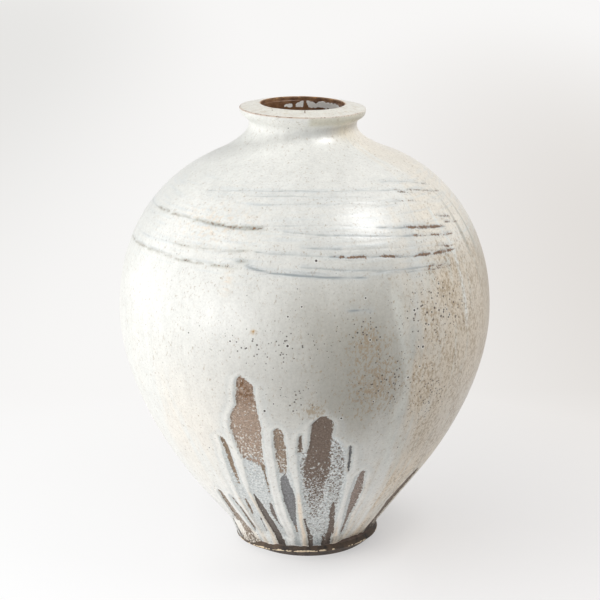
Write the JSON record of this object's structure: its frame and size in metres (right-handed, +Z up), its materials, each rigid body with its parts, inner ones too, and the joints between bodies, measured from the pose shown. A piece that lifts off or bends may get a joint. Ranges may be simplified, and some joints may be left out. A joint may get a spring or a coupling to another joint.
{
  "type": "moon jar",
  "caption": "High-shouldered stoneware jar with a flanged neck and a bevelled foot ring, for storage or display, in white glaze that ran down and left bare clay fingers.",
  "frame": {"origin": "centre of the foot ring's resting face", "axes": "+Z up along the jar's axis, -Y towards the side that the picture shows, +X to that side's right"},
  "size_m": [0.369, 0.369, 0.45],
  "materials": {
    "stoneware": "bare iron-bearing stoneware, turned and scraped, matte",
    "luting_slip": "fired clay slip, matte",
    "white_slip": "brushed white slip, matte",
    "white_glaze": "satin white glaze, run and pinholed",
    "liner_glaze": "satin pale glaze"
  },
  "bodies": {
    "root": {"foot_ring": "stoneware", "foot_luting": "luting_slip", "lower_bowl": "stoneware", "belly_luting": "luting_slip", "upper_bowl": "stoneware", "neck_luting": "luting_slip", "neck_collar": "stoneware", "brushed_slip": "white_slip", "outer_glaze": "white_glaze", "liner_glaze": "liner_glaze"}
  },
  "joints": []
}
